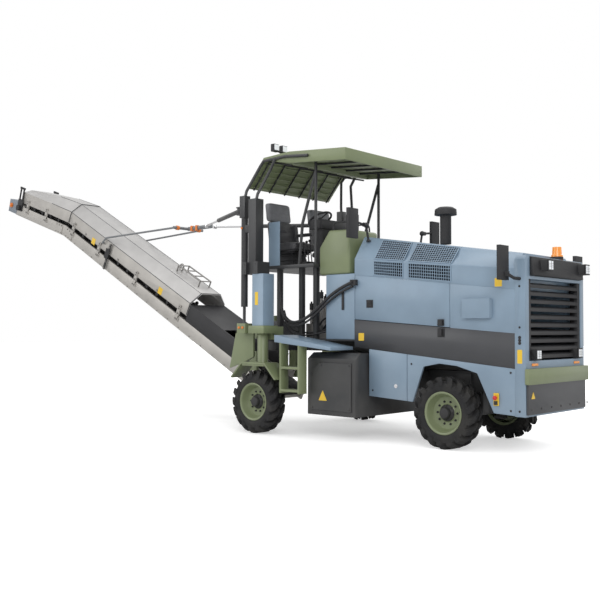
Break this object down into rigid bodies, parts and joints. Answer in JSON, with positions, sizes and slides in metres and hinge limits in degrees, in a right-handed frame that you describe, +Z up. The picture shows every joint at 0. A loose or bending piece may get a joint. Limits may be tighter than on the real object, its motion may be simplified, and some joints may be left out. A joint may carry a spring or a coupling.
{
  "type": "cold planer",
  "caption": "Four-wheeled road milling machine with a covered rear conveyor, a canopied two-seat stand, lifting rear legs and a steered front axle.",
  "frame": {"origin": "centre of the plan outline at the ground the tyres stand on", "axes": "+X towards the front of the machine, +Y to its left, +Z up"},
  "size_m": [11.5206, 2.38, 4.0351],
  "materials": {
    "blue_paint": "satin",
    "sage_paint": "satin",
    "dark_paint": "satin",
    "black_plastic": "matte",
    "cast_metal": "rough",
    "stainless": "brushed",
    "tyre_rubber": "matte",
    "belt_rubber": "matte",
    "seat_cover": "matte",
    "amber_lens": "gloss",
    "lamp_glass": "gloss"
  },
  "bodies": {
    "chassis": {"beacon": "amber_lens", "canopy": "sage_paint", "canopy_post_left": "dark_paint", "canopy_post_right": "dark_paint", "control_console": "black_plastic", "deck_plate": "dark_paint", "drum_housing": "dark_paint", "engine_block": "cast_metal", "exhaust_stack": "black_plastic", "fender_left": "blue_paint", "fender_right": "blue_paint", "front_axle": "dark_paint", "front_beam": "sage_paint", "front_cowl": "blue_paint", "front_grille": "black_plastic", "hood": "blue_paint", "hood_grille_left": "black_plastic", "hood_grille_right": "black_plastic", "lamp_panel": "lamp_glass", "lift_column_left": "blue_paint", "lift_column_right": "blue_paint", "main_frame": "dark_paint", "operator_platform": "dark_paint", "rear_mirror_left": "black_plastic", "rear_mirror_right": "black_plastic", "seat_left": "seat_cover", "seat_right": "seat_cover", "side_panel_left": "blue_paint", "side_panel_right": "blue_paint", "tank": "sage_paint", "valve_cabinet": "blue_paint", "walkway_left": "blue_paint", "walkway_right": "blue_paint"},
    "knuckle_left": {"knuckle_left": "dark_paint"},
    "knuckle_right": {"knuckle_right": "dark_paint"},
    "wheel_front_left": {"wheel_front_left": "tyre_rubber"},
    "wheel_front_right": {"wheel_front_right": "tyre_rubber"},
    "leg_left": {"rear_leg_left": "sage_paint"},
    "leg_right": {"rear_leg_right": "sage_paint"},
    "wheel_rear_left": {"wheel_rear_left": "tyre_rubber"},
    "wheel_rear_right": {"wheel_rear_right": "tyre_rubber"},
    "drum": {"milling_drum": "cast_metal"},
    "scraper": {"scraper_door": "dark_paint"},
    "engine_door_left": {"engine_door_left": "blue_paint"},
    "engine_door_right": {"engine_door_right": "blue_paint"},
    "service_door_left": {"service_door_left": "blue_paint"},
    "service_door_right": {"service_door_right": "blue_paint"},
    "steering_wheel": {"steering_wheel": "black_plastic"},
    "slew_console": {"conveyor_console": "sage_paint"},
    "conveyor": {"conveyor_frame": "stainless", "conveyor_belt": "belt_rubber", "conveyor_cover_head": "stainless", "conveyor_cover_main": "stainless", "feed_hood": "black_plastic", "stay_frame": "dark_paint"},
    "arm_left": {"arm_barrel_left": "dark_paint"},
    "arm_right": {"arm_barrel_right": "dark_paint"},
    "rod_left": {"arm_rod_left": "stainless"},
    "rod_right": {"arm_rod_right": "stainless"}
  },
  "joints": [
    {"name": "steer_left", "type": "hinge", "parent": "chassis", "child": "knuckle_left", "pos_m": [4.67029, 0.5, 0.4], "axis": [0, 0, 1], "range_deg": [-30, 30]},
    {"name": "roll_front_left", "type": "hinge", "parent": "knuckle_left", "child": "wheel_front_left", "pos_m": [4.67029, 0.66, 0.4], "axis": [0, 1, 0], "continuous": true},
    {"name": "lift_left", "type": "slide", "parent": "chassis", "child": "leg_left", "axis": [0, 0, 1], "range_m": [-0.05, 0.3]},
    {"name": "roll_rear_left", "type": "hinge", "parent": "leg_left", "child": "wheel_rear_left", "pos_m": [2.09029, 1.075, 0.4], "axis": [0, 1, 0], "continuous": true},
    {"name": "engine_door_left_hinge", "type": "hinge", "parent": "chassis", "child": "engine_door_left", "pos_m": [4.67029, 0.7, 1.844], "axis": [0.9939, 0, -0.1103], "range_deg": [0, 80]},
    {"name": "service_door_left_hinge", "type": "hinge", "parent": "chassis", "child": "service_door_left", "pos_m": [4.67029, 0.7, 0.994], "axis": [0.9959, 0, -0.0903], "range_deg": [0, 80]},
    {"name": "arm_left_swing", "type": "hinge", "parent": "chassis", "child": "arm_left", "pos_m": [1.63029, 1, 2.9], "axis": [0, 0, 1], "range_deg": [-17, 17]},
    {"name": "arm_left_slide", "type": "slide", "parent": "arm_left", "child": "rod_left", "axis": [-0.8827, -0.4697, 0.0155], "range_m": [-0.37, 0.37]},
    {"name": "steer_right", "type": "hinge", "parent": "chassis", "child": "knuckle_right", "pos_m": [4.67029, -0.5, 0.4], "axis": [0, 0, 1], "range_deg": [-30, 30]},
    {"name": "roll_front_right", "type": "hinge", "parent": "knuckle_right", "child": "wheel_front_right", "pos_m": [4.67029, -0.66, 0.4], "axis": [0, 1, 0], "continuous": true},
    {"name": "lift_right", "type": "slide", "parent": "chassis", "child": "leg_right", "axis": [0, 0, 1], "range_m": [-0.05, 0.3]},
    {"name": "roll_rear_right", "type": "hinge", "parent": "leg_right", "child": "wheel_rear_right", "pos_m": [2.09029, -1.075, 0.4], "axis": [0, 1, 0], "continuous": true},
    {"name": "engine_door_right_hinge", "type": "hinge", "parent": "chassis", "child": "engine_door_right", "pos_m": [4.67029, -0.7, 1.844], "axis": [-0.9939, 0, 0.1103], "range_deg": [0, 80]},
    {"name": "service_door_right_hinge", "type": "hinge", "parent": "chassis", "child": "service_door_right", "pos_m": [4.67029, -0.7, 0.994], "axis": [-0.9959, 0, 0.0903], "range_deg": [0, 80]},
    {"name": "arm_right_swing", "type": "hinge", "parent": "chassis", "child": "arm_right", "pos_m": [1.63029, -1, 2.9], "axis": [0, 0, 1], "range_deg": [-17, 17]},
    {"name": "arm_right_slide", "type": "slide", "parent": "arm_right", "child": "rod_right", "axis": [-0.8827, 0.4697, 0.0155], "range_m": [-0.37, 0.37]},
    {"name": "drum_spin", "type": "hinge", "parent": "chassis", "child": "drum", "pos_m": [3.19029, -0.165, 0.6], "axis": [0, 1, 0], "continuous": true},
    {"name": "scraper_hinge", "type": "hinge", "parent": "chassis", "child": "scraper", "pos_m": [2.82229, -0.165, 0.86], "axis": [0, 1, 0], "range_deg": [0, 50]},
    {"name": "steering_wheel_spin", "type": "hinge", "parent": "chassis", "child": "steering_wheel", "pos_m": [2.50029, -0.35, 2.7803], "axis": [-0.507, 0, 0.862], "range_deg": [-540, 540]},
    {"name": "conveyor_slew", "type": "hinge", "parent": "chassis", "child": "slew_console", "pos_m": [1.32029, 0, 1.3], "axis": [0, 0, 1], "range_deg": [-25, 25]},
    {"name": "conveyor_luff", "type": "hinge", "parent": "slew_console", "child": "conveyor", "pos_m": [1.32029, 0, 0.72], "axis": [0, 1, 0], "range_deg": [-4, 4]}
  ],
  "couplings": [
    {"joint": "steer_left", "follows": "steer_right", "ratio": 1},
    {"joint": "arm_left_swing", "follows": "conveyor_slew", "ratio": 0.61941},
    {"joint": "arm_left_slide", "follows": "conveyor_slew", "m_per_rad": 0.73289},
    {"joint": "arm_right_swing", "follows": "conveyor_slew", "ratio": 0.61941},
    {"joint": "arm_right_slide", "follows": "conveyor_slew", "m_per_rad": -0.73289}
  ]
}
